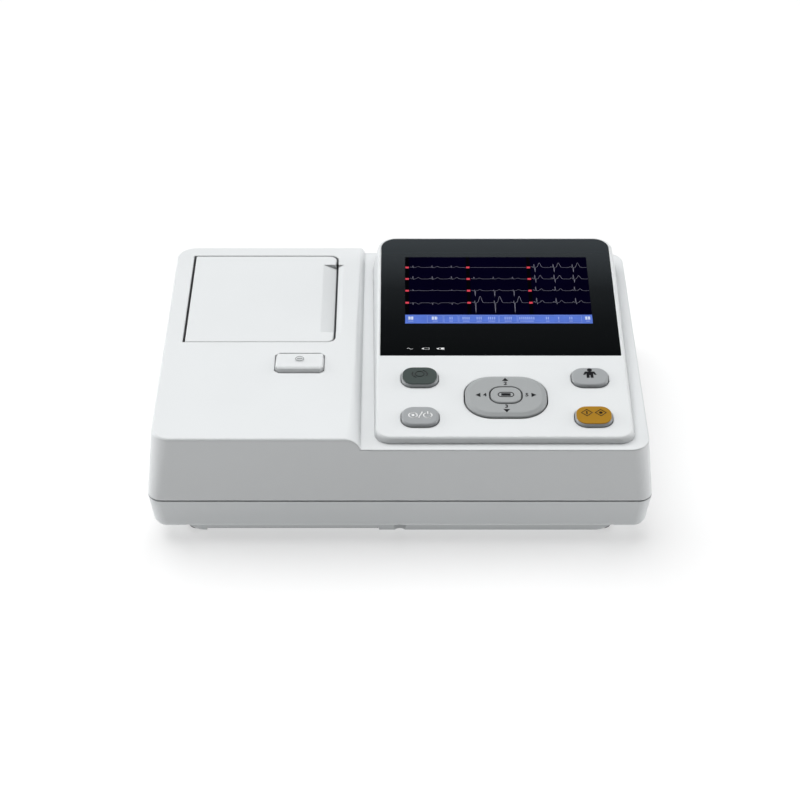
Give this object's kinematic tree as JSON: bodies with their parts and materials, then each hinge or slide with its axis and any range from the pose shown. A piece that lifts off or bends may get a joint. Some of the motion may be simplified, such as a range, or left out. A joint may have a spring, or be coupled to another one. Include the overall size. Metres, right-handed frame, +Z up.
{
  "type": "electrocardiograph",
  "caption": "Portable desktop electrocardiograph with a raised sloping panel holding a display and keypad, a strip recorder under a hinged paper door, and rear sockets.",
  "frame": {"origin": "on the table, under the middle of the case", "axes": "+X to the operator's right, +Y to the back, +Z up"},
  "size_m": [0.277, 0.207, 0.0805],
  "materials": {
    "white_case": "fine matte",
    "lower_case": "fine matte",
    "cover_grey": "fine matte",
    "key_grey": "satin",
    "pad_grey": "satin",
    "green_inlay": "satin",
    "ochre_inlay": "satin",
    "window_black": "polished",
    "screen": "polished",
    "rubber": "matte",
    "steel": "brushed",
    "nickel": "plated",
    "alloy": "bead blasted",
    "gear_plastic": "satin",
    "tray_plastic": "fine matte",
    "ceramic": "glazed",
    "paper": "paper",
    "circuit": "lacquered",
    "black_plastic": "matte",
    "battery_wrap": "film",
    "transformer_iron": "varnished",
    "port_shell": "plated"
  },
  "bodies": {
    "case": {"battery_cover": "cover_grey", "battery_cover_screws": "steel", "battery_pack": "battery_wrap", "board_screws": "steel", "control_panel": "white_case", "display_module": "screen", "display_window": "window_black", "earth_stud": "nickel", "head_pivot_pin": "steel", "head_springs": "steel", "housing_screws": "steel", "inlet_blades": "nickel", "jack_nuts": "nickel", "key_board": "circuit", "key_mat": "rubber", "latch_spring": "steel", "lower_housing": "lower_case", "main_board": "circuit", "mains_inlet": "black_plastic", "motor_bracket": "steel", "navigation_bracket": "gear_plastic", "network_port": "black_plastic", "paper_sensor": "black_plastic", "paper_tray": "tray_plastic", "patient_socket": "black_plastic", "platen_bushes": "gear_plastic", "power_board": "circuit", "rear_panel": "black_plastic", "rubber_feet": "rubber", "stepper_motor": "alloy", "tear_bar": "steel", "transformer": "transformer_iron", "upper_housing": "white_case", "usb_port": "port_shell"},
    "door": {"paper_door": "white_case"},
    "release": {"release_button": "white_case"},
    "latch": {"door_latch": "gear_plastic"},
    "head": {"heat_sink": "alloy", "print_head": "ceramic"},
    "platen": {"platen_roller": "rubber", "platen_shaft": "steel", "platen_gear": "gear_plastic"},
    "rotor": {"motor_pinion": "gear_plastic", "motor_shaft": "steel", "motor_magnet": "alloy"},
    "paper": {"paper_roll": "paper", "roll_spindle": "gear_plastic"},
    "mode": {"mode_key": "key_grey", "mode_key_inlay": "green_inlay"},
    "power": {"power_key": "key_grey"},
    "patient": {"patient_key": "key_grey"},
    "start": {"start_key": "key_grey", "start_key_inlay": "ochre_inlay"},
    "rocker_ring": {"navigation_ring": "gear_plastic"},
    "rocker_pad": {"navigation_pad": "pad_grey"},
    "enter": {"enter_key": "pad_grey"}
  },
  "joints": [
    {"name": "door_hinge", "type": "hinge", "parent": "case", "child": "door", "pos_m": [-0.1194, 0.04275, 0.0662], "axis": [0, -1, 0], "range_deg": [0, 105]},
    {"name": "release_press", "type": "slide", "parent": "case", "child": "release", "axis": [0, 0, -1], "range_m": [0, 0.0025], "stiffness_N_per_m": 300, "springref_m": -0.002},
    {"name": "latch_slide", "type": "slide", "parent": "case", "child": "latch", "axis": [0, -1, 0], "range_m": [0, 0.0025], "deforming": ["latch_spring"]},
    {"name": "head_pivot", "type": "hinge", "parent": "case", "child": "head", "pos_m": [-0.11735, 0.04275, 0.036], "axis": [0, -1, 0], "range_deg": [0, 4], "stiffness_Nm_per_rad": 5, "springref_deg": -2.86, "deforming": ["head_springs"]},
    {"name": "platen_spin", "type": "hinge", "parent": "case", "child": "platen", "pos_m": [-0.107, 0.04275, 0.052], "axis": [0, 1, 0], "continuous": true},
    {"name": "motor_spin", "type": "hinge", "parent": "case", "child": "rotor", "pos_m": [-0.0926, -0.0105, 0.052], "axis": [0, 1, 0], "continuous": true},
    {"name": "roll_spin", "type": "hinge", "parent": "case", "child": "paper", "pos_m": [-0.0632, 0.04275, 0.0395], "axis": [0, 1, 0], "continuous": true},
    {"name": "mode_press", "type": "slide", "parent": "case", "child": "mode", "axis": [0, 0.0819, -0.9966], "range_m": [0, 0.0012], "stiffness_N_per_m": 400, "springref_m": -0.001, "deforming": ["key_mat"]},
    {"name": "power_press", "type": "slide", "parent": "case", "child": "power", "axis": [0, 0.0819, -0.9966], "range_m": [0, 0.0012], "stiffness_N_per_m": 400, "springref_m": -0.001, "deforming": ["key_mat"]},
    {"name": "patient_press", "type": "slide", "parent": "case", "child": "patient", "axis": [0, 0.0819, -0.9966], "range_m": [0, 0.0012], "stiffness_N_per_m": 400, "springref_m": -0.001, "deforming": ["key_mat"]},
    {"name": "start_press", "type": "slide", "parent": "case", "child": "start", "axis": [0, 0.0819, -0.9966], "range_m": [0, 0.0012], "stiffness_N_per_m": 400, "springref_m": -0.001, "deforming": ["key_mat"]},
    {"name": "rocker_pitch", "type": "hinge", "parent": "case", "child": "rocker_ring", "pos_m": [0.0585, -0.06006, 0.06018], "axis": [1, 0, 0], "range_deg": [-2.2, 2.2], "stiffness_Nm_per_rad": 0.4},
    {"name": "rocker_roll", "type": "hinge", "parent": "rocker_ring", "child": "rocker_pad", "pos_m": [0.0585, -0.06006, 0.06018], "axis": [0, 0.9966, 0.0819], "range_deg": [-2.2, 2.2], "stiffness_Nm_per_rad": 0.4},
    {"name": "enter_press", "type": "slide", "parent": "case", "child": "enter", "axis": [0, 0.0819, -0.9966], "range_m": [0, 0.001], "stiffness_N_per_m": 400, "springref_m": -0.001, "deforming": ["key_mat"]}
  ],
  "couplings": [
    {"joint": "latch_slide", "follows": "release_press", "ratio": 1},
    {"joint": "motor_spin", "follows": "platen_spin", "ratio": -2}
  ]
}
